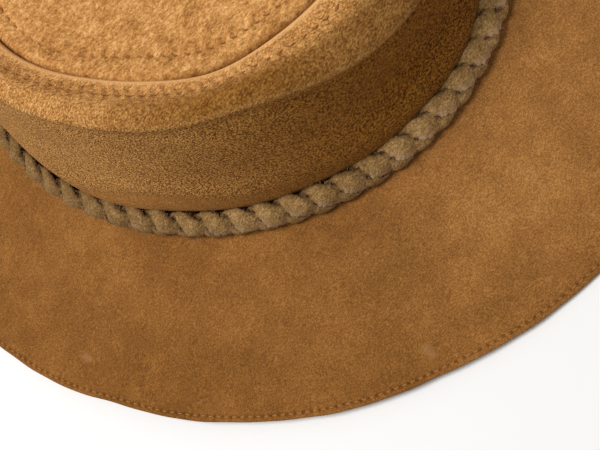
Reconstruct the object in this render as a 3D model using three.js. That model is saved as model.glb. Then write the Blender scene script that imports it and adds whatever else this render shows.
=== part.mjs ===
// A floppy suede hat: a sunken oval tip, a side panel with a soft rolled shoulder, a wide soft brim
// and a band of three plaited suede laces. Millimetres, +Z up, front of the hat towards -Y.
// The origin is on the surface that the brim lies on, below the middle of the brim's outline.
import * as THREE from "three";
import { LoftGeometry } from "three/addons/geometries/LoftGeometry.js";
import { mergeVertices } from "three/addons/utils/BufferGeometryUtils.js";

const { lerp, smoothstep } = THREE.MathUtils;

// Head oval: the outer face of the crown where it meets the brim
const HEAD_HALF_WIDTH = 84;
const HEAD_HALF_LENGTH = 100;

// Leather and clearances
const CROWN_THICKNESS = 1.8;
const BRIM_THICKNESS = 2.2;
const CLEARANCE = 0.3;

// Brim: its width is the mean, more at the front and less at the back by the same amount
const BRIM_MEAN_WIDTH = 76.8;
const BRIM_FRONT_EXTRA = 5.3;
const HEAD_OPENING_HEIGHT = 7.3;
const SIDE_LIFT = 5.5;
const RIPPLE_HEIGHT = 1.6;
const RIPPLES = 5;

// Crown: heights are above the top of the brim, insets are in from the head oval
const SHOULDER_HEIGHT = 72;
const SHOULDER_FRONT_DROP = 24;
const SHOULDER_INSET = 11.8;
const SHOULDER_FRONT_FORWARD = 8;
const SHOULDER_ROLL = 6;
const SEAM_HEIGHT = 67;
const SEAM_INSET = 29.3;
const SEAM_FRONT_FORWARD = 5.5;
const SEAM_BACK_OUT = 2.2;
const SEAM_SIDE_OUT = 2;
const FRONT_DENT_DEPTH = 4.5;
const TIP_DISH = 9;
const TIP_CREASE = 4;
const SEAM_LAP = 6;
const SEAM_STEP = 1;

// Band: three flat laces plaited into one braid that lies in the corner of crown and brim, bent round
// a radius so that its upper half faces up and its lower half faces out, and turned up more at the
// front than at the back
const PLAIT_PERIODS = 20;
const STEPS_PER_PERIOD = 12;
const LACE_WIDTH = 4.6;
const LACE_THICKNESS = 1.9;
const PLAIT_SWING = 4;
const PLAIT_DEPTH = 2.2;
const PLAIT_RADIUS = 14;
const PLAIT_FACING = THREE.MathUtils.degToRad(34);
const PLAIT_FRONT_TURN = THREE.MathUtils.degToRad(12);
const PLAIT_OFFSET = 7.5;
const PLAIT_HEIGHT = 6.2;

const CROWN_SEGMENTS = 56;
const BRIM_SEGMENTS = 72;

const BRIM_TOP = HEAD_OPENING_HEIGHT + BRIM_THICKNESS;
const headOval = new THREE.EllipseCurve(0, BRIM_FRONT_EXTRA, HEAD_HALF_WIDTH, HEAD_HALF_LENGTH);
headOval.arcLengthDivisions = 720;

const suede = {
  tip: new THREE.MeshStandardMaterial({ color: "#c08a4c", roughness: 0.95, metalness: 0 }),
  side: new THREE.MeshStandardMaterial({ color: "#a87438", roughness: 0.95, metalness: 0 }),
  brim: new THREE.MeshStandardMaterial({ color: "#96632f", roughness: 0.95, metalness: 0 }),
  lace: new THREE.MeshStandardMaterial({ color: "#8f7a58", roughness: 0.95, metalness: 0 }),
};

// How far towards the front a place on the head oval is: 1 at the front, -1 at the back.
const frontness = (angle) => -Math.sin(angle);

// A point set off outwards from the head oval, at a height above the surface.
function offHead(angle, offset, height) {
  const across = Math.cos(angle) / HEAD_HALF_WIDTH;
  const along = Math.sin(angle) / HEAD_HALF_LENGTH;
  const scale = offset / Math.hypot(across, along);
  return new THREE.Vector3(
    HEAD_HALF_WIDTH * Math.cos(angle) + scale * across,
    BRIM_FRONT_EXTRA + HEAD_HALF_LENGTH * Math.sin(angle) + scale * along,
    height,
  );
}

// Lofts a closed section round the whole head oval: sectionAt(angle) gives [offset, height] pairs,
// up the outside first.
function ringGeometry(sectionAt, segments) {
  const sections = [];
  for (let i = 0; i <= segments; i++) {
    const angle = ((i % segments) / segments) * 2 * Math.PI;
    const section = sectionAt(angle).map(([offset, height]) => offHead(angle, offset, height));
    sections.push(section.reverse());
  }
  return closedSurface(new LoftGeometry(sections));
}

// Joins the seams of a lofted surface and drops the faces that close to nothing at a pole, so that
// it is one closed mesh.
function closedSurface(loft) {
  const surface = new THREE.BufferGeometry();
  surface.setAttribute("position", loft.getAttribute("position"));
  surface.setIndex(loft.getIndex());
  const joined = mergeVertices(surface, 1e-4);
  const corners = joined.getIndex().array;
  const kept = [];
  for (let i = 0; i < corners.length; i += 3) {
    const face = [corners[i], corners[i + 1], corners[i + 2]];
    if (new Set(face).size === 3) kept.push(...face);
  }
  joined.setIndex(kept);
  joined.computeVertexNormals();
  return joined;
}

// Height of the shoulder's lower edge, which runs down towards both front corners.
const shoulderHeight = (front) => SHOULDER_HEIGHT - SHOULDER_FRONT_DROP * smoothstep(front, 0.35, 0.95);
const shoulderInset = (front) => Math.max(2, SHOULDER_INSET - SHOULDER_FRONT_FORWARD * front);

// How far in from the head oval the tip seam runs: less at the back, and less where it bulges
// outwards on both sides, a little in front of the middle.
function seamInset(front) {
  const backOut = SEAM_BACK_OUT * smoothstep(-front, 0.15, 0.7);
  const sideOut = SEAM_SIDE_OUT * Math.exp(-(((front - 0.32) / 0.22) ** 2));
  return SEAM_INSET - SEAM_FRONT_FORWARD * front - backOut - sideOut;
}

// Depth of the two pinched dents below the shoulder, one at each front corner.
const frontDent = (front) => FRONT_DENT_DEPTH * Math.exp(-(((front - 0.8) / 0.14) ** 2));

// Outer face of the crown's side from the brim to the tip seam, as a curve of offset and height.
function crownProfile(angle) {
  const front = frontness(angle);
  const edgeInset = shoulderInset(front);
  const edgeHeight = shoulderHeight(front);
  const seam = seamInset(front);
  const dent = frontDent(front);
  const across = (share) => -lerp(edgeInset, seam, share);
  const points = [
    [0.4, CLEARANCE],
    [2, 0.13 * edgeHeight],
    [2 - 0.1 * edgeInset, 0.29 * edgeHeight],
    [-0.35 * edgeInset - dent, 0.52 * edgeHeight],
    [-0.9 * edgeInset - 0.3 * dent, edgeHeight - 5],
    [across(0.03), edgeHeight + 1.6],
    [across(0.42), lerp(edgeHeight, SEAM_HEIGHT, 0.5) + SHOULDER_ROLL],
    [across(0.8), lerp(edgeHeight, SEAM_HEIGHT, 0.9) + 0.4 * SHOULDER_ROLL],
    [-seam, SEAM_HEIGHT],
  ];
  return new THREE.SplineCurve(points.map(([x, y]) => new THREE.Vector2(x, BRIM_TOP + y)));
}

// A place on the crown's profile, set in by a depth from the outer face.
function insideProfile(profile, share, depth) {
  const place = profile.getPoint(share);
  const way = profile.getTangent(share);
  return [place.x - depth * way.y, place.y + depth * way.x];
}

// Where on the profile the tip's lapped border ends under the side panel.
const lapShare = (profile) => 1 - SEAM_LAP / profile.getLength();

function crownSide() {
  const outerShares = [0, 0.12, 0.26, 0.38, 0.5, 0.57, 0.625, 0.7, 0.79, 0.89, 1];
  return ringGeometry((angle) => {
    const profile = crownProfile(angle);
    const innerShares = [1, lapShare(profile), 0.84, 0.72, 0.58, 0.3, 0];
    const outer = outerShares.map((share) => insideProfile(profile, share, 0));
    const inner = innerShares.map((share) => insideProfile(profile, share, CROWN_THICKNESS));
    inner[inner.length - 1] = [-CROWN_THICKNESS, outer[0][1]];
    return [...outer, ...inner];
  }, CROWN_SEGMENTS);
}

// Height of the sunken tip's top face at a share of the way from its middle to the seam.
function tipHeight(share, angle) {
  const x = share * Math.cos(angle);
  const dish = TIP_DISH * (1 - share ** 2);
  const crease = TIP_CREASE * Math.exp(-((x / 0.3) ** 2)) * (1 - share ** 4);
  return BRIM_TOP + SEAM_HEIGHT - SEAM_STEP - dish - crease;
}

// The tip is an oval panel whose border runs under the side panel's turned-in edge.
function crownTip() {
  const lapTop = CROWN_THICKNESS + CLEARANCE;
  const lapBottom = lapTop + CROWN_THICKNESS;
  const middle = new THREE.Vector3(0, BRIM_FRONT_EXTRA - SEAM_FRONT_FORWARD, 0);
  const ring = (placeAt) => {
    const points = [];
    for (let i = 0; i < CROWN_SEGMENTS; i++) points.push(placeAt((i / CROWN_SEGMENTS) * 2 * Math.PI));
    return points;
  };
  const panelRing = (share, drop) => ring((angle) => {
    const border = offHead(angle, -seamInset(frontness(angle)) - 1.5, 0);
    const point = middle.clone().lerp(border, share);
    return point.setZ(tipHeight(share, angle) - drop);
  });
  const lapRing = (shareOf, depth) => ring((angle) => {
    const profile = crownProfile(angle);
    const [offset, height] = insideProfile(profile, shareOf(profile), depth);
    return offHead(angle, offset, height);
  });
  const atSeam = () => 1;
  return closedSurface(new LoftGeometry([
    panelRing(0, CROWN_THICKNESS),
    panelRing(0.45, CROWN_THICKNESS),
    panelRing(0.85, CROWN_THICKNESS + 0.6),
    lapRing(atSeam, lapBottom),
    lapRing(lapShare, lapBottom),
    lapRing(lapShare, lapTop),
    lapRing(atSeam, lapTop),
    panelRing(0.98, 0.4),
    panelRing(0.7, 0),
    panelRing(0.4, 0),
    panelRing(0, 0),
  ]));
}

// Height of the brim's underside above the surface, from the head opening (0) to the edge (1).
// It lies flat on the surface near the edge at the front and the back, and lifts a little at the sides.
function brimUnderside(angle, share) {
  const front = frontness(angle);
  const sideways = smoothstep(1 - Math.abs(front), 0.12, 0.75);
  const ripple = RIPPLE_HEIGHT * Math.sin(RIPPLES * angle) * sideways;
  const lift = Math.max(0, SIDE_LIFT * sideways + ripple);
  const fall = smoothstep(share, 0, 0.82);
  return lerp(HEAD_OPENING_HEIGHT, lift, fall);
}

function brim() {
  const shares = [0, 0.16, 0.38, 0.6, 0.84, 1];
  return ringGeometry((angle) => {
    const width = BRIM_MEAN_WIDTH + BRIM_FRONT_EXTRA * frontness(angle);
    const at = (share, rise) => [
      lerp(-CROWN_THICKNESS, width, share),
      brimUnderside(angle, share) + rise,
    ];
    const under = shares.map((share) => at(share, 0));
    const over = [...shares].reverse().map((share) => at(share, BRIM_THICKNESS));
    return [...under, ...over];
  }, BRIM_SEGMENTS);
}

// One lace of the plait: it swings from edge to edge of the band and dips under at each crossing.
// across is measured up the bent band, out is measured away from the crown.
function bandStrand(lace) {
  const steps = PLAIT_PERIODS * STEPS_PER_PERIOD;
  const corners = [
    [-0.5 * LACE_WIDTH, 0],
    [0, -0.5 * LACE_THICKNESS],
    [0.5 * LACE_WIDTH, 0],
    [0.22 * LACE_WIDTH, 0.5 * LACE_THICKNESS],
    [-0.22 * LACE_WIDTH, 0.5 * LACE_THICKNESS],
  ];
  const sections = [];
  for (let i = 0; i <= steps; i++) {
    const turn = (i % steps) / steps;
    const phase = 2 * Math.PI * (PLAIT_PERIODS * turn + lace / 3);
    const angle = 2 * Math.PI * headOval.getUtoTmapping(turn);
    const middle = PLAIT_FACING + PLAIT_FRONT_TURN * frontness(angle);
    const swing = PLAIT_SWING * Math.cos(phase);
    const dip = PLAIT_DEPTH * Math.sin(2 * phase);
    sections.push(corners.map(([width, thickness]) => {
      const radius = PLAIT_RADIUS + dip + thickness;
      const facing = middle + (swing + width) / PLAIT_RADIUS;
      return offHead(
        angle,
        PLAIT_OFFSET + radius * Math.cos(facing) - PLAIT_RADIUS * Math.cos(middle),
        BRIM_TOP + PLAIT_HEIGHT + radius * Math.sin(facing) - PLAIT_RADIUS * Math.sin(middle),
      );
    }));
  }
  return closedSurface(new LoftGeometry(sections));
}

const hat = new THREE.Group();

function addPiece(name, geometry, material) {
  const piece = new THREE.Mesh(geometry, material);
  piece.name = name;
  hat.add(piece);
}

addPiece("crown_tip", crownTip(), suede.tip);
addPiece("crown_side", crownSide(), suede.side);
addPiece("brim", brim(), suede.brim);
for (let lace = 0; lace < 3; lace++) {
  addPiece(`band_strand_${lace + 1}`, bandStrand(lace), suede.lace);
}

export default hat;
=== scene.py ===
"""A floppy suede hat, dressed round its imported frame: crown, brim, plaited band and stitching."""

from collections import namedtuple

import bmesh
import bpy
import numpy as np
from mathutils import Matrix, Vector


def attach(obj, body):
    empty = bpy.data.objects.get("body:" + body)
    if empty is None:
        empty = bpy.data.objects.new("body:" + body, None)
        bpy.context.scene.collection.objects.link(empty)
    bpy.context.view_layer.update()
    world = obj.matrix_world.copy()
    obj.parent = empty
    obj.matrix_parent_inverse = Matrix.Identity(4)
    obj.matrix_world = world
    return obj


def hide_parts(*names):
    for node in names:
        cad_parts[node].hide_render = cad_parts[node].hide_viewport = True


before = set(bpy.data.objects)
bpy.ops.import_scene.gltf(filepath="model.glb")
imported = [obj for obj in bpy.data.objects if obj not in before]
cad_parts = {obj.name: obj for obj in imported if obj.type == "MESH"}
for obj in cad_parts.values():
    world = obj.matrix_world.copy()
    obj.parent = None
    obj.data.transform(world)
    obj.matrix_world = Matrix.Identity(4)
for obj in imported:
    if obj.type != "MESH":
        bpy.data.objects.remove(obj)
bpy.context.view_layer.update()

MM = 0.001
TURN = 2 * np.pi
SEED = 58
chance = np.random.default_rng(SEED)

# The hat's own sizes, in millimetres, as the frame has them
HEAD_HALF_WIDTH = 84.0
HEAD_HALF_LENGTH = 100.0
CROWN_THICKNESS = 1.8
BRIM_THICKNESS = 2.2
CLEARANCE = 0.3
BRIM_MEAN_WIDTH = 76.8
BRIM_FRONT_EXTRA = 5.3
HEAD_OPENING_HEIGHT = 7.3
BRIM_FALL_SHARE = 0.82
SIDE_LIFT = 5.5
RIPPLE_HEIGHT = 1.6
RIPPLES = 5
SHOULDER_HEIGHT = 72.0
SHOULDER_FRONT_DROP = 24.0
SHOULDER_INSET = 11.8
SHOULDER_LEAST_INSET = 2.0
SHOULDER_FRONT_FORWARD = 8.0
SHOULDER_ROLL = 6.0
SEAM_HEIGHT = 67.0
SEAM_INSET = 29.3
SEAM_FRONT_FORWARD = 5.5
SEAM_BACK_OUT = 2.2
SEAM_SIDE_OUT = 2.0
FRONT_DENT_DEPTH = 4.5
TIP_DISH = 9.0
TIP_CREASE = 4.0
TIP_CREASE_WIDTH = 0.3
SEAM_STEP = 1.0
BRIM_TOP = HEAD_OPENING_HEIGHT + BRIM_THICKNESS

# Stitching and the seam's lip, in millimetres. A stitch is its step along the row, of which the
# thread shows a part, and the span is the share of a step over which its slant is measured.
LIP_RADIUS = 0.9
SIDE_ROW_INSET = 6.8
SIDE_ROW_INSET_FROM_ABOVE = 5.0
TIP_ROW_INSET = 9.7
TIP_ROW_BACK_OUT = 2.5
BRIM_ROW_INSET = 1.9
CROWN_STITCH = 4.1
BRIM_STITCH = 3.0
CROWN_THREAD_LENGTH = CROWN_STITCH * 0.5
BRIM_THREAD_LENGTH = BRIM_STITCH * 0.7
CROWN_STITCH_SUNK = 0.6
BRIM_STITCH_SUNK = 0.05
THREAD_RADIUS = 0.22
STITCH_SLANT = 1.3
STITCH_SPAN = 0.5
SLOPE_STEP = 0.5
CLEAR_OF_SEAM = 20

# The band's laces, in millimetres: wider and flatter than the frame's solids, and plaited closer
# round the corner. The swing is from side to side of the band and the dip is out of and into it.
# The skew brings a lace to the edge early, so that its lobe starts in a point, and standing keeps
# the upper row's lobes on top for longer than the lower row's.
PLAIT_PERIODS = 20
PLAIT_RADIUS = 9.5
PLAIT_FACING = np.radians(34)
PLAIT_FRONT_TURN = np.radians(9)
PLAIT_OFFSET = 7.5
PLAIT_HEIGHT = 6.7
LACE_THICKNESS = 1.3
LACE_CAMBER = 0.65
LACE_WIDTH = 8.5
LACE_SWING = 2.8
LACE_LEAN = 0.03
LACE_SKEW = 0.45
LACE_ROLL = np.radians(10)
LACE_DIP = 1.15
LACE_EARLY = np.radians(25)
LACE_STANDING = 0.55
LACE_STANDING_TURN = np.radians(32)

# The loose fibres on the laces' edges, in millimetres: the share of one that is sunk in the lace,
# how far it stands up for its way out, how far it strays, and how far under a lace still has them
FIBRES_ON_AN_EDGE = 480
FIBRE_LENGTHS = (0.7, 1.7)
FIBRE_RADIUS = 0.09
FIBRE_TIP_RADIUS = 0.02
FIBRE_ROOT_SHARE = 0.1
FIBRE_STANDING = 0.8
FIBRE_TANGLE = 0.45
STILL_ON_TOP = 0.3


# Shapes of the hat: arrays of angles, offsets and heights in millimetres

def smoothstep(value, low, high):
    share = np.clip((value - low) / (high - low), 0, 1)
    return share * share * (3 - 2 * share)


def between(value, low, high, start, end):
    """Goes softly from start to end while a value goes from low to high."""
    return start + (end - start) * smoothstep(value, low, high)


def hump(value, middle, width):
    """A soft rise of height 1 at a place."""
    return np.exp(-(((value - middle) / width) ** 2))


Swell = namedtuple("Swell", "height place width")


def swelled(swells, value):
    """The sum of soft rises and dips, each with its height and its place along a value."""
    return sum(swell.height * hump(value, swell.place, swell.width) for swell in swells)


def frontness(angle):
    """1 at the front of the hat, -1 at the back."""
    return -np.sin(angle)


def off_head(angle, offset, height):
    """Points set off outwards from the head oval, at heights above the surface."""
    across = np.cos(angle) / HEAD_HALF_WIDTH
    along = np.sin(angle) / HEAD_HALF_LENGTH
    scale = offset / np.hypot(across, along)
    x = HEAD_HALF_WIDTH * np.cos(angle) + scale * across
    y = BRIM_FRONT_EXTRA + HEAD_HALF_LENGTH * np.sin(angle) + scale * along
    return np.stack(np.broadcast_arrays(x, y, height), axis=-1)


def seam_inset(front):
    """How far in from the head oval the tip seam runs. The seam is set forward as a whole, and let
    out a little at the back and in a bulge on each side."""
    out = SEAM_BACK_OUT * smoothstep(-front, 0.15, 0.7) + SEAM_SIDE_OUT * hump(front, 0.32, 0.22)
    return SEAM_INSET - SEAM_FRONT_FORWARD * front - out


def tip_row_inset(front):
    """How far inside the seam the tip's row of stitches runs: less towards the back."""
    return TIP_ROW_INSET - TIP_ROW_BACK_OUT * smoothstep(-front, -0.05, 0.5)


# The wall's face from brim to ridge. A place lies out by some millimetres and back in by shares of
# the ridge's inset and the front dent. Its height is a share of the ridge's, and a rise.
WallPlace = namedtuple("WallPlace", "out inset_share dent_share height_share rise")
WALL = [
    WallPlace(0.4, 0, 0, 0, CLEARANCE),
    WallPlace(2, 0, 0, 0.13, 0),
    WallPlace(2, 0.1, 0, 0.29, 0),
    WallPlace(0, 0.35, 1, 0.52, 0),
    WallPlace(0, 0.9, 0.3, 1, -5),
]

# The shoulder's face from ridge to seam: shares of the way across, up, and of the roll, and a rise
ShoulderPlace = namedtuple("ShoulderPlace", "across up roll_share rise")
SHOULDER = [
    ShoulderPlace(0.03, 0, 0, 1.6),
    ShoulderPlace(0.42, 0.5, 1, 0),
    ShoulderPlace(0.8, 0.9, 0.4, 0),
    ShoulderPlace(1, 1, 0, 0),
]

# Shares of the way from brim to seam: the ridge, and the fold low on the wall
RIDGE_SHARE = len(WALL) / (len(WALL) + len(SHOULDER) - 1)
FOLD_SHARE = 0.22
FOLD_RISE = Swell(0.09, -0.15, 0.28)


def profile_points(angle):
    """The crown's side as a short run of offsets and heights above the brim, from brim to seam."""
    front = frontness(angle)
    inset = np.maximum(SHOULDER_LEAST_INSET, SHOULDER_INSET - SHOULDER_FRONT_FORWARD * front)
    height = SHOULDER_HEIGHT - SHOULDER_FRONT_DROP * smoothstep(front, 0.35, 0.95)
    seam = seam_inset(front)
    dent = FRONT_DENT_DEPTH * hump(front, 0.8, 0.14)
    points = []
    for at in WALL:
        offset = at.out - at.inset_share * inset - at.dent_share * dent
        points.append((offset, at.height_share * height + at.rise))
    for at in SHOULDER:
        rise = (SEAM_HEIGHT - height) * at.up + SHOULDER_ROLL * at.roll_share + at.rise
        points.append((-inset - (seam - inset) * at.across, height + rise))
    return points


def smooth_curve(points, shares):
    """Places on a smooth curve through points, at shares of its spans: points by angle by share."""
    table = np.stack([np.stack(point, axis=-1) for point in points])
    spans = len(points) - 1
    place = shares * spans
    start = np.minimum(place.astype(int), spans - 1)
    t = (place - start)[:, None, None]
    before, a, b, after = (table[np.clip(start + step, 0, spans)] for step in (-1, 0, 1, 2))
    rise = (b - before) / 2
    fall = (after - a) / 2
    cubic = (2 * a - 2 * b + rise + fall) * t**3
    square = (-3 * a + 3 * b - 2 * rise - fall) * t**2
    return cubic + square + rise * t + a


def tip_height(share, angle):
    """Height of the sunken tip's top face, from its middle (0) to the seam (1)."""
    x = share * np.cos(angle)
    dish = TIP_DISH * (1 - share**2)
    crease = TIP_CREASE * hump(x, 0, TIP_CREASE_WIDTH) * (1 - share**4)
    return BRIM_TOP + SEAM_HEIGHT - SEAM_STEP - dish - crease


def brim_underside(angle, share):
    """Height of the brim's underside, from the head opening (0) to the edge (1)."""
    sideways = smoothstep(1 - np.abs(frontness(angle)), 0.12, 0.75)
    ripple = RIPPLE_HEIGHT * np.sin(RIPPLES * angle) * sideways
    lift = np.maximum(0, SIDE_LIFT * sideways + ripple)
    return between(share, 0, BRIM_FALL_SHARE, HEAD_OPENING_HEIGHT, lift)


# Where the brim's edge is drawn in a little, along frontness
BRIM_DRAWN_IN = [Swell(1.3, 0.5, 0.14), Swell(1.0, -0.27, 0.1)]


def brim_width(angle):
    front = frontness(angle)
    return BRIM_MEAN_WIDTH + BRIM_FRONT_EXTRA * front - swelled(BRIM_DRAWN_IN, front)


def running_length(line):
    """Length along a line of points, or along several side by side, from the first point."""
    steps = np.linalg.norm(np.diff(line, axis=0), axis=-1)
    return np.concatenate([0 * steps[:1], np.cumsum(steps, axis=0)])


ROUND_STEPS = 1440


class Round:
    """A line once round the hat, with a whole number of stitches of about a length."""

    def __init__(self, place, stitch):
        self.angles = np.linspace(0, TURN, ROUND_STEPS + 1)
        length = running_length(place(self.angles))
        self.count = round(length[-1] / stitch)
        self.counts = length / length[-1] * self.count

    def phase(self, angle):
        """How many stitches from the start an angle is."""
        return np.interp(angle, self.angles, self.counts)

    def angle(self, phase):
        return np.interp(phase, self.counts, self.angles)


# Pieces bent from a grid

def ring(name, rows, segments, place):
    """A piece bent from a grid: rows run round its section, segments run round the hat.
    place(step, row) gives points in millimetres, and weights for the finish by name."""
    shape = bmesh.new()
    bmesh.ops.create_grid(shape, x_segments=segments, y_segments=rows, size=1)
    grid = np.array([vert.co[:2] for vert in shape.verts])
    step = np.rint((grid[:, 0] + 1) / 2 * segments).astype(int) % segments
    row = np.rint((grid[:, 1] + 1) / 2 * rows).astype(int) % rows
    points, weights = place(step, row)
    layers = {mark: shape.verts.layers.float.new(mark) for mark in weights}
    for index, vert in enumerate(shape.verts):
        vert.co = points[index] * MM
        for mark, layer in layers.items():
            vert[layer] = weights[mark][index]
    bmesh.ops.remove_doubles(shape, verts=shape.verts[:], dist=0.01 * MM)
    bmesh.ops.recalc_face_normals(shape, faces=shape.faces[:])
    return finished(name, shape)


def finished(name, shape):
    """Puts a shape in the scene as a smooth piece."""
    for face in shape.faces:
        face.smooth = True
    mesh = bpy.data.meshes.new(name)
    shape.to_mesh(mesh)
    shape.free()
    piece = bpy.data.objects.new(name, mesh)
    bpy.context.scene.collection.objects.link(piece)
    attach(piece, "root")
    return piece


# What a row of stitches does to the leather: lengths in mm, and DENT_LENGTH a share of a stitch
GROOVE = Swell(-0.25, 0, 1.8)
DENT_DEPTH = 0.5
DENT_WIDTH = 0.5
DENT_LENGTH = 0.26
PUCKER = Swell(0.55, 1.6, 1.5)
PUCKER_SLANT = 0.12


def stitch_dent(away, phase):
    """The slanted dent that each stitch of a row has pulled into the nap: 1 in it, 0 outside."""
    along = phase - np.floor(phase) - 0.5
    return hump(away + STITCH_SLANT * along, 0, DENT_WIDTH) * np.exp(-((along / DENT_LENGTH) ** 4))


def stitch_puckers(away, phase):
    """Rise of the leather beside a row of stitches: a shallow groove, the dents, and puckers that
    swell between them. away is the distance from the row."""
    along = phase - np.floor(phase) - 0.5
    pucker = swelled([PUCKER], np.abs(away)) * np.cos(TURN * (along - PUCKER_SLANT * away))
    return swelled([GROOVE], away) - DENT_DEPTH * stitch_dent(away, phase) - pucker


# Crown side: a panel from the brim up over the ridge and the rolled shoulder to the tip seam

CROWN_SEGMENTS = 864
PROFILE_STEPS = 320
PROFILE_SHARES = np.linspace(0, 1, PROFILE_STEPS + 1)
crown_angles = np.arange(CROWN_SEGMENTS) / CROWN_SEGMENTS * TURN


def from_seam(profiles):
    """Distance from the seam of each step of the profiles."""
    length = running_length(profiles)
    return length[-1] - length


def on_profile(angle, distance):
    """Offset, height and way towards the seam, outwards and up, of places on the smooth profile,
    by their distance from the seam: rows by angles."""
    profiles = smooth_curve(profile_points(angle), PROFILE_SHARES)[::-1]
    known = from_seam(profiles[::-1])[::-1]
    found = np.empty((4,) + distance.shape)
    for column in range(len(angle)):
        line = profiles[:, column]
        way = np.gradient(line, axis=0)
        way /= -np.linalg.norm(way, axis=1)[:, None]
        for values, table in zip(found, (*line.T, *way.T)):
            values[:, column] = np.interp(distance[:, column], known[:, column], table)
    return found


crown_distances = from_seam(smooth_curve(profile_points(crown_angles), PROFILE_SHARES))
profile_length = crown_distances[0]
ridge_distance = crown_distances[round(RIDGE_SHARE * PROFILE_STEPS)]
fold_share = FOLD_SHARE + swelled([FOLD_RISE], frontness(crown_angles))
fold_step = np.rint(fold_share * PROFILE_STEPS).astype(int)
fold_distance = crown_distances[fold_step, np.arange(CROWN_SEGMENTS)]


def side_row_line(angle):
    return off_head(angle, SIDE_ROW_INSET_FROM_ABOVE - seam_inset(frontness(angle)), 0)


def tip_row_line(angle):
    front = frontness(angle)
    return off_head(angle, -seam_inset(front) - tip_row_inset(front), 0)


side_round = Round(side_row_line, CROWN_STITCH)
tip_round = Round(tip_row_line, CROWN_STITCH)

# Soft swells and grooves along the ridge, the fold and the seam: places are mm down from each
RIDGE_SWELLS = [Swell(0.9, -3, 4), Swell(0.35, 0, 1.2), Swell(-1.3, 4.5, 3.2)]
FOLD_SWELLS = [Swell(0.7, -4, 4.5), Swell(-0.4, 3, 4)]
SEAM_SWELLS = [Swell(0.7, 1.2, 1.5), Swell(-0.15, 0, 0.5)]


def side_relief(angle, away, ridge, fold):
    """How far the crown side's face stands out of its smooth profile, by distance from the seam.
    The ridge is firmest at the front, and the fold is gathered where the head is widest."""
    front = frontness(angle)
    ridge_line = between(front, -0.3, 0.7, 0.35, 1) * swelled(RIDGE_SWELLS, away - ridge)
    gathered = 0.1 + 0.9 * hump(front, -0.12, 0.38)
    fold_line = gathered * swelled(FOLD_SWELLS, away - fold)
    sewn = stitch_puckers(away - SIDE_ROW_INSET, side_round.phase(angle))
    sewn = sewn * between(front, 0, -0.4, 1, 0.5)
    soft = 0.45 * np.sin(5 * angle + 0.07 * away + 1) + 0.3 * np.sin(11 * angle - 0.11 * away)
    soft = soft * smoothstep(away, 10, 30)
    return ridge_line + fold_line + sewn + swelled(SEAM_SWELLS, away) + soft


# Rows of the panel's section: closest at the lip and the stitches, then at the ridge and the fold
NEAR_SEAM = (0, 0.4, 0.9, 1.6, 2.5, 3.4, 4.3, 5, 5.5, 5.9,
             6.25, 6.6, 6.95, 7.3, 7.7, 8.2, 8.9, 9.8, 10.9, 12)
RIDGE_REACH = 2.6
FOLD_REACH = 3
LIP_DEGREES = (30, 60, 90, 120, 150)
INSIDE_SHARES = (0, 0.06, 0.15, 0.26, 0.38, 0.5, 0.62, 0.74, 0.86, 0.94, 1)


def side_rows():
    """The rows of the crown side's section, as (distance from the seam by angle, depth, reach past
    the seam's edge), up the outside and over the seam's folded lip to the inside."""
    level = 0 * ridge_distance
    stretches = [
        (ridge_distance - RIDGE_REACH, 5), (ridge_distance + RIDGE_REACH, 9),
        (fold_distance - FOLD_REACH, 14), (fold_distance + FOLD_REACH, 7), (profile_length, 6),
    ]
    outer = [level + near for near in NEAR_SEAM]
    for high, count in stretches:
        low = outer[-1]
        outer += [low + (high - low) * step / count for step in range(1, count + 1)]
    rows = [(distance, 0, 0) for distance in reversed(outer)]
    for degrees in LIP_DEGREES:
        turn = np.radians(degrees)
        rows.append((level, LIP_RADIUS * (1 - np.cos(turn)), LIP_RADIUS * np.sin(turn)))
    rows += [(share * profile_length, CROWN_THICKNESS, 0) for share in INSIDE_SHARES]
    return rows


def crown_side_place():
    rows = side_rows()
    distance = np.stack([row[0] for row in rows])
    depth = np.array([row[1] for row in rows])[:, None]
    reach = np.array([row[2] for row in rows])[:, None]
    offset, height, way_out, way_up = on_profile(crown_angles, distance)
    relief = side_relief(crown_angles[None], distance, ridge_distance[None], fold_distance[None])
    rise = relief * smoothstep(profile_length - distance, 0, 5) - depth
    offset = offset + rise * way_up + reach * way_out
    height = height - rise * way_out + reach * way_up
    foot = (depth == CROWN_THICKNESS) & (distance >= profile_length - 0.01)
    offset = np.where(foot, -CROWN_THICKNESS, offset)
    height = np.where(foot, CLEARANCE, height)

    def place(step, row):
        angle = crown_angles[step]
        points = off_head(angle, offset[row, step], BRIM_TOP + height[row, step])
        away = distance[row, step]
        ridge = ridge_distance[step]
        fold = fold_distance[step]
        front = frontness(angle)
        below = smoothstep(away, ridge - 1.5, ridge + 1.5)
        # Painted shade: shoulder and wall darker on the side facing away from the light, most at the
        # front
        shoulder = 0.95 * smoothstep(front, -0.4, 0.35) * smoothstep(away, 6, 14)
        shoulder = shoulder * between(front, 0.45, 0.75, 1, 0.78)
        wall = np.clip(0.56 + 0.62 * front, 0.36, 1.05)
        worn = smoothstep(away, fold - 4, fold + 4) * (0.3 + 0.7 * hump(front, -0.1, 0.5))
        weights = {
            "nap": 0.7 - 0.45 * below,
            "grit": 1 + 1.2 * below - 1.35 * worn,
            "painted_shade": shoulder + (wall - shoulder) * below,
            "shade": below * between(front, 0, 0.6, 0.4, 1),
            # Painted highlight along the top of the seam's lip, and faintly on the ridge towards the
            # front
            "painted_highlight": hump(away, 0.8, 1.0) + 0.12 * smoothstep(front, 0, 0.4) * hump(away, ridge, 0.9),
            # Stitch dents darkened: partly nap pressed down, partly painted shade in the hollows
            "sewn": 0.6 * stitch_dent(away - SIDE_ROW_INSET, side_round.phase(angle)),
        }
        return points, weights

    return place, len(rows)


side_place, side_row_count = crown_side_place()
crown_side = ring("crown_side_suede", side_row_count, CROWN_SEGMENTS, side_place)
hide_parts("crown_side")


# Crown tip: a sunken oval panel whose border runs under the side panel's lip

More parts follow.
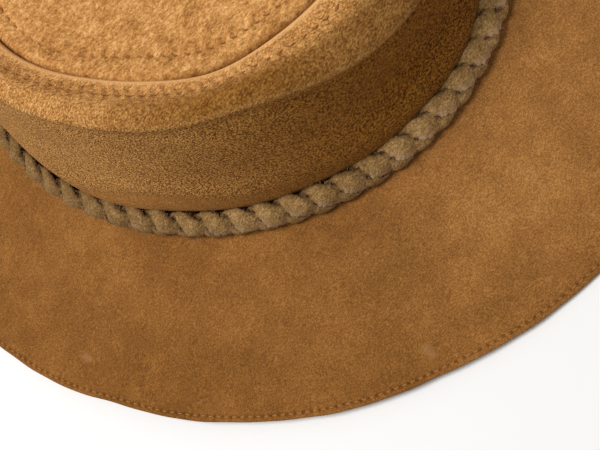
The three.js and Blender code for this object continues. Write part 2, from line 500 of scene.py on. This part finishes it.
TIP_MIDDLE = np.array([0, BRIM_FRONT_EXTRA - SEAM_FRONT_FORWARD])
TIP_BORDER_ROWS = (-4, -2.4, -1.2, -0.4, 0.2, 0.8, 1.5, 2.4, 3.5, 4.7, 5.9, 7, 7.8, 8.4, 8.8,
                   9.15, 9.5, 9.8, 10.1, 10.45, 10.9, 11.5, 12.3, 13.3, 14.5)
TIP_INNER_SHARES = (0.94, 0.87, 0.8, 0.72, 0.64, 0.56, 0.48, 0.4, 0.32, 0.24, 0.16, 0.08, 0)
TIP_UNDER_SHARES = (0, 0.2, 0.4, 0.6, 0.8, 0.93)
TIP_UNDER_BORDER_ROWS = (10, 4, 0, -4)
TIP_EDGE_INSIDE = 1.5


def tip_plan(angle, inside, share):
    """Places on the tip seen from above: a distance inside the seam, drawn in towards the middle."""
    border = off_head(angle, -seam_inset(frontness(angle)) - inside, 0)[..., :2]
    return TIP_MIDDLE + (border - TIP_MIDDLE) * share[..., None]


def from_tip_middle(plan):
    return np.linalg.norm(plan - TIP_MIDDLE, axis=-1)


def tip_top(angle, plan, inside):
    """Height of the tip's top face at a place, with its stitches and the dip beside the seam,
    which is deeper towards the front."""
    border = tip_plan(angle, TIP_EDGE_INSIDE, np.ones(len(angle)))
    share = from_tip_middle(plan) / from_tip_middle(border)
    height = tip_height(np.minimum(share, 1), angle)
    deeper = smoothstep(frontness(angle), -0.1, 0.5)
    under = (1.6 + 0.9 * deeper) * smoothstep(inside, 3 + 2.5 * deeper, -0.2)
    under = under + 0.25 * smoothstep(inside, -0.2, -4)
    sewn = stitch_puckers(inside - tip_row_inset(frontness(angle)), tip_round.phase(angle))
    soft = 0.5 * np.sin(4 * angle + 0.5) * smoothstep(inside, 4, 14)
    return height - under + sewn + soft


def crown_tip_place():
    rows = [(inside, 1, 0) for inside in TIP_BORDER_ROWS]
    rows += [(TIP_BORDER_ROWS[-1], share, 0) for share in TIP_INNER_SHARES]
    rows += [(TIP_BORDER_ROWS[-1], share, CROWN_THICKNESS) for share in TIP_UNDER_SHARES]
    rows += [(inside, 1, CROWN_THICKNESS) for inside in TIP_UNDER_BORDER_ROWS]
    inside, share, depth = np.array(rows, float).T

    def place(step, row):
        angle = crown_angles[step]
        front = frontness(angle)
        drawn = inside[row] * np.where(inside[row] > 0, tip_row_inset(front) / TIP_ROW_INSET, 1)
        plan = tip_plan(angle, drawn, share[row])
        seam = tip_plan(angle, 0, np.ones(len(angle)))
        away = np.where(share[row] == 1, drawn, from_tip_middle(seam) - from_tip_middle(plan))
        top = tip_top(angle, plan, away) - depth[row]
        top_face = depth[row] == 0
        deeper = smoothstep(front, -0.1, 0.5)
        # Painted shade in the dip beside the seam, darker towards the front, and in the stitch dents
        dent = stitch_dent(away - tip_row_inset(front), tip_round.phase(angle))
        seam_crease_shade = (0.6 + 1.2 * deeper) * hump(away, 0, 1.3 + 0.9 * deeper)
        none = 0 * away
        weights = {
            "nap": none + 1,
            "grit": none + 0.6,
            "painted_shade": 0.9 * deeper * hump(away, 0, 3.5) * top_face,
            "painted_highlight": none,
            "shade": none,
            "sewn": (0.6 * dent + seam_crease_shade) * top_face,
        }
        return np.concatenate([plan, top[:, None]], axis=1), weights

    return place, len(rows)


tip_place, tip_row_count = crown_tip_place()
crown_tip = ring("crown_tip_suede", tip_row_count, CROWN_SEGMENTS, tip_place)
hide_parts("crown_tip")


# Brim: one wide panel with soft waves and a cut edge

BRIM_SEGMENTS = 1500
BRIM_TOP_SHARES = (0, 0.02) + tuple(step / 26 for step in range(1, 22))
BRIM_EDGE_ROWS = (12, 9, 6.5, 4.8, 3.7, 3, 2.55, 2.2, 1.9, 1.6, 1.3, 0.95, 0.6, 0.3, 0.1)
BRIM_UNDER_EDGE_ROWS = (0.6, 2.4, 12)
BRIM_UNDER_SHARES = (0.8, 0.66, 0.52, 0.38, 0.24, 0.1, 0)
EdgeCorner = namedtuple("EdgeCorner", "from_edge depth")
BRIM_CORNERS = [
    EdgeCorner(0, 0.3), EdgeCorner(-0.12, 0.8), EdgeCorner(-0.12, 1.4), EdgeCorner(0, 1.9),
]
EDGE_GROOVE = Swell(-0.2, BRIM_ROW_INSET, 0.9)
EDGE_ROUNDING = Swell(-0.22, 0, 0.8)
NEEDLE_HOLE_DEPTH = 0.35


def brim_row_line(angle):
    return off_head(angle, brim_width(angle) - BRIM_ROW_INSET, 0)


brim_round = Round(brim_row_line, BRIM_STITCH)


def needle_hole(angle, from_edge):
    """1 in the hole between two stitches of the brim's edge row, 0 outside."""
    phase = brim_round.phase(angle)
    along = phase - np.rint(phase)
    return hump(from_edge, BRIM_ROW_INSET, 0.6) * hump(along, 0, 0.17)


def brim_relief(angle, from_edge, share):
    """How far the brim's top stands out of its smooth shape: soft swells and the sewn edge."""
    soft = 0.35 * np.sin(7 * angle + 4 * share) + 0.3 * np.sin(12 * angle - 7 * share + 2)
    soft = soft * smoothstep(share, 0.08, 0.3) * smoothstep(from_edge, 0, 14)
    edge = swelled([EDGE_GROOVE, EDGE_ROUNDING], from_edge)
    return soft + edge - NEEDLE_HOLE_DEPTH * needle_hole(angle, from_edge)


def brim_place():
    angles = np.arange(BRIM_SEGMENTS) / BRIM_SEGMENTS * TURN
    width = brim_width(angles)
    span = width + CROWN_THICKNESS
    top = [share * span - CROWN_THICKNESS for share in BRIM_TOP_SHARES]
    top += [width - from_edge for from_edge in BRIM_EDGE_ROWS]
    corners = [width - corner.from_edge for corner in BRIM_CORNERS]
    under = [width - from_edge for from_edge in BRIM_UNDER_EDGE_ROWS]
    under += [share * span - CROWN_THICKNESS for share in BRIM_UNDER_SHARES]
    offset = np.stack(top + corners + under)
    depth = np.array(
        [0] * len(top) + [corner.depth for corner in BRIM_CORNERS] + [BRIM_THICKNESS] * len(under))
    uneven = 0.1 * np.sin(19 * angles) + 0.07 * np.sin(41 * angles + 1)
    uneven = uneven + 0.05 * np.sin(67 * angles + 2)
    offset = offset + uneven * hump(width - offset, 0, 2.5)

    def place(step, row):
        angle = angles[step]
        out = offset[row, step]
        share = np.clip((out + CROWN_THICKNESS) / span[step], 0, 1)
        from_edge = width[step] - out
        relief = brim_relief(angle, from_edge, share) * (1 - depth[row] / BRIM_THICKNESS)
        height = brim_underside(angle, share) + BRIM_THICKNESS - depth[row] + relief
        front = frontness(angle)
        # Painted shade over all but the front and towards the edge, and in the needle holes
        weights = {
            "painted_shade": 0.75 * smoothstep(front, 0.8, 0.3) + 0.35 * smoothstep(share, 0.55, 1),
            "sewn": needle_hole(angle, from_edge) * (depth[row] == 0),
        }
        return off_head(angle, out, np.maximum(height, 0)), weights

    return place, len(offset)


brim_at, brim_row_count = brim_place()
brim = ring("brim_suede", brim_row_count, BRIM_SEGMENTS, brim_at)
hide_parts("brim")


# Band: three flat split suede laces in one plait

LACE_STEPS = 1440
LACE_CORNERS = 24
LACE_TOP = LACE_CORNERS // 4
LACE_LOWER_EDGE = LACE_CORNERS // 2
LACE_BOTTOM = LACE_CORNERS * 3 // 4
head_angles = np.linspace(0, TURN, 2 * ROUND_STEPS + 1)
head_lengths = running_length(off_head(head_angles, PLAIT_OFFSET, 0))
BAND_LENGTH = head_lengths[-1]
PERIOD_LENGTH = BAND_LENGTH / PLAIT_PERIODS


def band_angle(turn):
    """The angle round the hat at a share of the band's length."""
    return np.interp(turn % 1, head_lengths / BAND_LENGTH, head_angles)


def on_band(turn, across, out):
    """Points on the bent band: across is up the band, out is away from the crown."""
    angle = band_angle(turn)
    middle = PLAIT_FACING + PLAIT_FRONT_TURN * frontness(angle)
    radius = PLAIT_RADIUS + out
    facing = middle + across / PLAIT_RADIUS
    offset = PLAIT_OFFSET + radius * np.cos(facing) - PLAIT_RADIUS * np.cos(middle)
    height = PLAIT_HEIGHT + radius * np.sin(facing) - PLAIT_RADIUS * np.sin(middle)
    return off_head(angle, offset, BRIM_TOP + height)


def wander(turn, size, slowest, fastest):
    """A seeded wavering that closes round the hat."""
    total = 0 * turn
    for waves in range(slowest, fastest + 1, max(1, (fastest - slowest) // 6)):
        total = total + np.sin(TURN * (waves * turn + chance.random())) * chance.uniform(0.5, 1)
    return size * total / 3


def lace_run(lace):
    """One lace's way round the band, step by step: on top from the band's edge to its middle, and
    under the others on its way back."""
    turn = np.arange(LACE_STEPS) / LACE_STEPS
    phase = TURN * (PLAIT_PERIODS * turn + lace / 3)
    width = LACE_WIDTH * (0.94 + 0.06 * np.cos(phase - TURN / 6))
    width = width * (1 + wander(turn, 0.07, 13, 61))
    swing = np.cos(phase) - LACE_SKEW * np.sin(2 * phase) + LACE_LEAN * (np.cos(2 * phase) - 1)
    swing = LACE_SWING * swing + wander(turn, 0.22, 11, 71)
    dip = np.sin(2 * phase + LACE_EARLY) + LACE_STANDING * np.cos(phase + LACE_STANDING_TURN)
    under = smoothstep(dip, -0.1, -0.75)
    dip = LACE_DIP * dip + wander(turn, 0.15, 17, 67)
    sideways = -np.sin(phase) - 2 * LACE_SKEW * np.cos(2 * phase)
    sideways = sideways - 2 * LACE_LEAN * np.sin(2 * phase)
    slope = LACE_SWING * sideways / (PERIOD_LENGTH / TURN)
    return {
        "turn": turn,
        "lobe": 0.5 + 0.5 * np.cos(2 * phase - TURN / 6),
        "width": width,
        "swing": swing,
        "dip": dip,
        "under": under,
        "slope": slope,
        "reach": width / 2 * np.hypot(1, slope),
        "roll": LACE_ROLL * np.cos(phase) + wander(turn, 0.12, 9, 59),
        "fray_above": wander(turn, 0.3, 90, 300) + wander(turn, 0.35, 310, 640),
        "fray_below": wander(turn, 0.3, 90, 300) + wander(turn, 0.35, 310, 640),
    }


def shadow_under_edge(other, turn, across, out):
    """1 where a lace passes under another one's edge, in its painted shadow, 0 away from it."""
    middle, reach, dip = (
        np.interp(turn, other["turn"], other[key], period=1) for key in ("swing", "reach", "dip")
    )
    gap = np.abs(across - middle) - reach
    return hump(gap, 0.15, 0.5) * smoothstep(dip - out, 0.1, 0.8)


def lace_place(run, others):
    """Places on one lace. Its section is flat with rounded, frayed edges, and cambered on top."""

    def place(step, row):
        own = {key: line[step] for key, line in run.items()}
        around = TURN * row / LACE_CORNERS
        side = np.sign(np.cos(around)) * np.abs(np.cos(around)) ** 0.8
        up = np.sign(np.sin(around)) * np.abs(np.sin(around)) ** 0.7
        thickness = LACE_THICKNESS * (0.8 + 0.3 * own["lobe"])
        frayed = np.where(side > 0, own["fray_above"], own["fray_below"]) * np.abs(side) ** 5
        wide = side * own["width"] / 2 + np.sign(side) * frayed
        thick = up * thickness / 2 * (1 - 0.3 * side**2) - LACE_CAMBER * own["lobe"] * side**2
        turned = np.cos(own["roll"]) * wide + np.sin(own["roll"]) * thick
        lifted = np.cos(own["roll"]) * thick - np.sin(own["roll"]) * wide
        level = np.hypot(1, own["slope"])
        turn = own["turn"] - turned * own["slope"] / level / BAND_LENGTH
        across = own["swing"] + turned / level
        shadowed = [shadow_under_edge(other, turn, across, own["dip"]) for other in others]
        ragged = np.clip(0.75 + own["fray_below"], 0, 1)
        front = frontness(band_angle(own["turn"]))
        weights = {
            "edge": np.abs(side) ** 2.5 * (side < 0) * (1 - own["under"]) * ragged,
            # Painted shade: under other laces, underside, crown side edge, and shadow of an edge
            # above
            "under": np.maximum.reduce([
                0.8 * own["under"], smoothstep(up, 0.1, -0.7), np.abs(side) ** 4 * (side > 0),
                0.95 * np.maximum.reduce(shadowed),
            ]),
            # Painted shade over all but the front of the band, most at the back
            "painted_shade": 0.6 * smoothstep(front, 0.72, 0.5) + 0.4 * smoothstep(front, -0.05, -0.35),
        }
        return on_band(turn, across, own["dip"] + lifted), weights

    return place


lace_runs = [lace_run(number) for number in range(3)]
lace_places = [
    lace_place(run, [other for other in lace_runs if other is not run]) for run in lace_runs
]
laces = []
for number, place in enumerate(lace_places):
    lace = ring(f"band_lace_{number + 1}", LACE_CORNERS, LACE_STEPS, place)
    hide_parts(f"band_strand_{number + 1}")
    laces.append(lace)


def loose_fibres():
    """Short pale fibres that stand out and up from the laces' cut edges, as one piece."""
    shape = bmesh.new()
    for run, place in zip(lace_runs, lace_places):
        for row in (0, LACE_LOWER_EDGE):
            steps = chance.choice(np.flatnonzero(run["under"] < STILL_ON_TOP), FIBRES_ON_AN_EDGE)
            roots, top, bottom = (
                place(steps, np.full(len(steps), at))[0] for at in (row, LACE_TOP, LACE_BOTTOM)
            )
            for root, away, rise in zip(roots, roots - top, top - bottom):
                way = away / np.linalg.norm(away) + FIBRE_STANDING * rise / np.linalg.norm(rise)
                way = Vector(way + chance.normal(0, FIBRE_TANGLE, 3)).normalized()
                length = chance.uniform(*FIBRE_LENGTHS)
                middle = Vector(root) + way * length * (0.5 - FIBRE_ROOT_SHARE)
                turned = way.to_track_quat("Z", "Y").to_matrix().to_4x4()
                bmesh.ops.create_cone(
                    shape, cap_ends=True, segments=3, radius1=FIBRE_RADIUS * MM,
                    radius2=FIBRE_TIP_RADIUS * MM, depth=length * MM,
                    matrix=Matrix.Translation(middle * MM) @ turned)
    return finished("band_loose_fibres", shape)


fibres = loose_fibres()


# Stitches: a short round-ended length of thread each, sunk a little into the leather

def stitch_row(name, row, place, slant, length):
    """Lays one stitch in each step of a row, as one piece. place(angle, aside) gives points at
    angles, at a distance to one side of the row."""
    middles = np.arange(row.count) + 0.5
    aside = slant * STITCH_SPAN / 2
    starts = place(row.angle(middles - STITCH_SPAN / 2), aside)
    stops = place(row.angle(middles + STITCH_SPAN / 2), -aside)
    size = Matrix.Diagonal((length / 2 * MM, THREAD_RADIUS * MM, THREAD_RADIUS * MM, 1))
    shape = bmesh.new()
    for start, stop in zip(starts, stops):
        turned = Vector(stop - start).normalized().to_track_quat("X", "Z").to_matrix().to_4x4()
        at = Matrix.Translation(Vector(start + stop) / 2 * MM) @ turned @ size
        bmesh.ops.create_uvsphere(shape, u_segments=6, v_segments=5, radius=1, matrix=at)
    return finished(name, shape)


def on_side_row(angle, aside):
    """Places along the crown side's row, sunk square to the leather, whose slope is taken over a
    short step towards the seam."""
    distance = SIDE_ROW_INSET + aside
    pair = np.full((len(angle), 2), (distance, distance - SLOPE_STEP)).T
    here, nearer_seam = on_profile(angle, pair)[:2].transpose(1, 0, 2)
    way = nearer_seam - here
    way_out, way_up = way / np.linalg.norm(way, axis=0)
    offset = here[0] - CROWN_STITCH_SUNK * way_up
    height = here[1] + CROWN_STITCH_SUNK * way_out
    return off_head(angle, offset, BRIM_TOP + height)


def on_tip_row(angle, aside):
    """Places along the tip's row, on the face as it is clear of the seam's dip and the puckers."""
    plan = tip_plan(angle, tip_row_inset(frontness(angle)) + aside, np.ones(len(angle)))
    top = tip_top(angle, plan, np.full(len(angle), CLEAR_OF_SEAM)) - CROWN_STITCH_SUNK
    return np.concatenate([plan, top[:, None]], axis=1)


def on_brim_row(angle, aside):
    """Places along the brim's row, almost on top of the leather."""
    width = brim_width(angle)
    offset = width - BRIM_ROW_INSET - aside
    share = (offset + CROWN_THICKNESS) / (width + CROWN_THICKNESS)
    height = brim_underside(angle, share) + BRIM_THICKNESS - BRIM_STITCH_SUNK
    return off_head(angle, offset, height)


side_stitches = stitch_row(
    "crown_side_stitches", side_round, on_side_row, STITCH_SLANT, CROWN_THREAD_LENGTH)
tip_stitches = stitch_row(
    "crown_tip_stitches", tip_round, on_tip_row, STITCH_SLANT, CROWN_THREAD_LENGTH)
brim_stitches = stitch_row(
    "brim_edge_stitches", brim_round, on_brim_row, 0, BRIM_THREAD_LENGTH)


# Materials

def linear(code):
    """A hex colour as the linear colour that the shader works in."""
    colour = []
    for at in (1, 3, 5):
        part = int(code[at:at + 2], 16) / 255
        colour.append(part / 12.92 if part <= 0.04045 else ((part + 0.055) / 1.055) ** 2.4)
    return (*colour, 1)


def add(tree, kind, inputs=None, **settings):
    """Adds a node with its settings, and sets or links its inputs by name or number."""
    node = tree.nodes.new(kind)
    for key, value in settings.items():
        setattr(node, key, value)
    for key, value in (inputs or {}).items():
        if isinstance(value, bpy.types.NodeSocket):
            tree.links.new(value, node.inputs[key])
        else:
            node.inputs[key].default_value = value
    return node


def blank_material(name):
    material = bpy.data.materials.new(name)
    material.use_nodes = True
    tree = material.node_tree
    tree.nodes.clear()
    shader = add(tree, "ShaderNodeBsdfPrincipled")
    output = add(tree, "ShaderNodeOutputMaterial")
    tree.links.new(shader.outputs["BSDF"], output.inputs["Surface"])
    return material, tree, shader


def plain(name, code, roughness):
    """A material of one even colour."""
    material, _, shader = blank_material(name)
    shader.inputs["Base Color"].default_value = linear(code)
    shader.inputs["Roughness"].default_value = roughness
    return material


# The way the nap is brushed, how much longer its grain is along that way, and the size in mm under
# which a pattern is brushed
NAP_WAY = np.radians(-40)
NAP_STRETCH = (1.6, 1, 1.2)
BRUSHED_BELOW = 2

# Most of a noise pattern's values lie between these
NOISE_LOW = 0.32
NOISE_HIGH = 0.68

# A pattern in the nap: its size in mm, its shares of tone and height, and the mark it follows
Layer = namedtuple("Layer", "size tone height follows")

# A worn spot: its place and radius in mm
Scuff = namedtuple("Scuff", "x y radius")
SCUFF_COLOUR = "#ae8257"
SCUFF_STRENGTH = 0.4


def suede(name, colours, layers, relief_mm, tints, scuffs=()):
    """Napped suede: short fibres that scatter light softly, with a grain brushed one way. relief_mm
    is the depth of the nap's pattern, and tints are marks with a colour and the way it is put on,
    among them painted shade and painted highlights."""
    material, tree, shader = blank_material(name)
    place = add(tree, "ShaderNodeTexCoord").outputs["Object"]
    brushed = add(tree, "ShaderNodeMapping", {
        "Vector": place, "Rotation": (0, 0, NAP_WAY), "Scale": NAP_STRETCH,
    }, vector_type="TEXTURE").outputs["Vector"]
    tone = 0.5
    height = 0.0
    for layer in layers:
        source = add(tree, "ShaderNodeTexNoise", {
            "Vector": brushed if layer.size < BRUSHED_BELOW else place,
            "Scale": 1 / (layer.size * MM), "Detail": 2.0, "Roughness": 0.6,
        }).outputs["Fac"]
        swing = add(tree, "ShaderNodeMapRange", {
            "Value": source, "From Min": NOISE_LOW, "From Max": NOISE_HIGH,
            "To Min": -0.5, "To Max": 0.5,
        }).outputs["Result"]
        if layer.follows:
            marked = add(tree, "ShaderNodeAttribute", attribute_name=layer.follows).outputs["Fac"]
            swing = add(tree, "ShaderNodeMath", {0: swing, 1: marked},
                        operation="MULTIPLY").outputs["Value"]
        tone = add(tree, "ShaderNodeMath", {0: swing, 1: layer.tone, 2: tone},
                   operation="MULTIPLY_ADD").outputs["Value"]
        height = add(tree, "ShaderNodeMath", {0: swing, 1: layer.height, 2: height},
                     operation="MULTIPLY_ADD").outputs["Value"]
    ramp = add(tree, "ShaderNodeValToRGB", {"Fac": tone})
    ramp.color_ramp.elements[0].color = linear(colours["deep"])
    ramp.color_ramp.elements[1].color = linear(colours["light"])
    ramp.color_ramp.elements.new(0.5).color = linear(colours["body"])
    colour = ramp.outputs["Color"]
    for mark, (tint, way) in tints.items():
        marked = add(tree, "ShaderNodeAttribute", attribute_name=mark).outputs["Fac"]
        colour = add(tree, "ShaderNodeMix", {"Factor": marked, 6: colour, 7: linear(tint)},
                     data_type="RGBA", blend_type=way).outputs[2]
    for scuff in scuffs:
        flat = add(tree, "ShaderNodeVectorMath", {0: place, 1: (1, 1, 0)},
                   operation="MULTIPLY").outputs[0]
        away = add(tree, "ShaderNodeVectorMath", {0: flat, 1: (scuff.x * MM, scuff.y * MM, 0)},
                   operation="DISTANCE").outputs["Value"]
        worn = add(tree, "ShaderNodeMapRange", {
            "Value": away, "From Min": 0.0, "From Max": scuff.radius * MM,
            "To Min": SCUFF_STRENGTH, "To Max": 0.0,
        }, interpolation_type="SMOOTHSTEP").outputs["Result"]
        colour = add(tree, "ShaderNodeMix", {"Factor": worn, 6: colour, 7: linear(SCUFF_COLOUR)},
                     data_type="RGBA", blend_type="MIX").outputs[2]
    bump = add(tree, "ShaderNodeBump", {
        "Height": height, "Distance": relief_mm * MM, "Strength": 1.0,
    })
    tree.links.new(colour, shader.inputs["Base Color"])
    tree.links.new(bump.outputs["Normal"], shader.inputs["Normal"])
    shader.inputs["Roughness"].default_value = 0.95
    shader.inputs["Specular IOR Level"].default_value = 0.1
    shader.inputs["Sheen Weight"].default_value = 0.08
    shader.inputs["Sheen Roughness"].default_value = 0.5
    shader.inputs["Sheen Tint"].default_value = linear(colours["light"])
    return material


def dress(pieces, material):
    for piece in pieces:
        piece.data.materials.clear()
        piece.data.materials.append(material)


# Real nap fibres are a few hundredths of a millimetre across, too fine to show, so the finest
# layers are drawn as grain of about half a millimetre.

# The crown's suede has a coarse raised nap. It gives a matt golden tan with a strong grain. Painted
# shade darkens and greens the side that faces away from the light, and a painted highlight lights
# the seam's lip.
crown_suede = suede(
    "napped_suede_golden_tan",
    {"deep": "#774b20", "body": "#c08649", "light": "#f2bf7c"},
    [Layer(38, 0.12, 0, None), Layer(6, 0.28, 0.3, "nap"), Layer(1.2, 0.4, 1.0, "nap"),
     Layer(0.5, 0.75, 0.6, "grit")],
    0.14,
    # Painted shade on the shoulder, wall and stitch dents, and a painted highlight on the lip and
    # ridge
    {"painted_shade": ("#aa9d72", "MULTIPLY"), "shade": ("#fbf0d3", "MULTIPLY"),
     "sewn": ("#b79a74", "MULTIPLY"), "painted_highlight": ("#f0b97a", "MIX")},
)

# The brim's suede has a short, close nap. It gives a smoother, redder tan with broad faint clouds
# and a fine grain, and two pale scuffs where it has been worn. Painted shade darkens its needle
# holes.
brim_suede = suede(
    "napped_suede_orange_tan",
    {"deep": "#6d4722", "body": "#9b6834", "light": "#c88f50"},
    [Layer(34, 0.24, 0, None), Layer(7, 0.12, 0.2, None), Layer(1.3, 0.14, 0.6, None),
     Layer(0.42, 0.62, 0.8, None)],
    0.07,
    # Painted shade over all but the front and towards the edge, and in the needle holes
    {"painted_shade": ("#dcd6c8", "MULTIPLY"), "sewn": ("#b49a76", "MULTIPLY")},
    [Scuff(-136, 62, 3), Scuff(-137, 60, 2), Scuff(-137, -67.8, 3), Scuff(-139, -70, 2.5)],
)

# The laces are split suede, rough on both faces. It gives a dull grey brown with paler frayed lower
# edges. Painted shade darkens a lace where it goes under another, and all but the front of the band.
lace_suede = suede(
    "split_suede_grey_brown",
    {"deep": "#5a4325", "body": "#a07b49", "light": "#d9b37d"},
    [Layer(30, 0.15, 0, None), Layer(5, 0.25, 0.2, None), Layer(1.1, 0.2, 1.0, None),
     Layer(0.5, 0.55, 0.8, None)],
    0.14,
    # Paler frayed edges, painted shade under other laces, and painted shade away from the front
    {"edge": ("#d6b390", "MIX"), "under": ("#5f4a40", "MULTIPLY"),
     "painted_shade": ("#d6d3d1", "MULTIPLY")},
)

# Waxed thread is smooth with a dull shine. The crown's is pulled down into the nap and is given a
# darker colour as painted shade, to show as short dark strokes; the brim's lies on top as lighter
# ones.
thread_in_painted_shade = plain("waxed_thread_in_painted_shade", "#95622f", 0.7)
thread_light_tan = plain("waxed_thread_light_tan", "#ad7739", 0.7)

# Single suede fibres are dry and pale, and show only as a faint fuzz along the laces
fibre_pale = plain("loose_suede_fibre", "#c9a684", 0.7)

dress([crown_side, crown_tip], crown_suede)
dress([brim], brim_suede)
dress(laces, lace_suede)
dress([side_stitches, tip_stitches], thread_in_painted_shade)
dress([brim_stitches], thread_light_tan)
dress([fibres], fibre_pale)


# Camera: the photograph looks down on the left front of the hat from close by, turned on its side

CAMERA_PLACE = (-149.3, -129.6, 337.8)
CAMERA_RIGHT = (-0.020, -0.951, -0.307)
CAMERA_UP = (0.986, -0.070, 0.151)
FOCAL_PIXELS = 974.4
PHOTO_WIDTH = 600
SENSOR_WIDTH = 36

right = Vector(CAMERA_RIGHT).normalized()
back = right.cross(Vector(CAMERA_UP)).normalized()
camera_turned = Matrix((right, back.cross(right), back)).transposed().to_4x4()
camera_data = bpy.data.cameras.new("camera")
camera_data.sensor_width = SENSOR_WIDTH
camera_data.lens = SENSOR_WIDTH * FOCAL_PIXELS / PHOTO_WIDTH
camera_data.clip_start = 0.01
camera = bpy.data.objects.new("camera", camera_data)
camera.matrix_world = Matrix.Translation(Vector(CAMERA_PLACE) * MM) @ camera_turned
bpy.context.scene.collection.objects.link(camera)
bpy.context.scene.camera = camera


# Floor and light: a pale floor, soft light all round and one large soft light over the hat's back

FLOOR_SIZE = 3
SKY_STRENGTH = 0.34
KEY_SIZE = 0.5
KEY_WATTS = 11
KEY_DISTANCE = 1.2
KEY_WAY = (-0.1, 0.28, 0.95)

floor_shape = bmesh.new()
bmesh.ops.create_grid(floor_shape, x_segments=1, y_segments=1, size=FLOOR_SIZE)
floor_mesh = bpy.data.meshes.new("floor")
floor_shape.to_mesh(floor_mesh)
floor_shape.free()
floor = bpy.data.objects.new("floor", floor_mesh)
bpy.context.scene.collection.objects.link(floor)

# Matt board is even and without a shine, so the floor stays a plain white
dress([floor], plain("matt_white_board", "#fcfbf9", 0.9))

world = bpy.data.worlds.new("studio")
bpy.context.scene.world = world
world.use_nodes = True
world.node_tree.nodes["Background"].inputs["Color"].default_value = (1, 1, 1, 1)
world.node_tree.nodes["Background"].inputs["Strength"].default_value = SKY_STRENGTH

key = bpy.data.lights.new("key", "AREA")
key.shape = "DISK"
key.size = KEY_SIZE
key.energy = KEY_WATTS
key_object = bpy.data.objects.new("key", key)
toward = Vector(KEY_WAY).normalized()
key_turned = toward.to_track_quat("Z", "Y").to_matrix().to_4x4()
key_object.matrix_world = Matrix.Translation(toward * KEY_DISTANCE) @ key_turned
bpy.context.scene.collection.objects.link(key_object)

bpy.context.scene.view_settings.view_transform = "Standard"
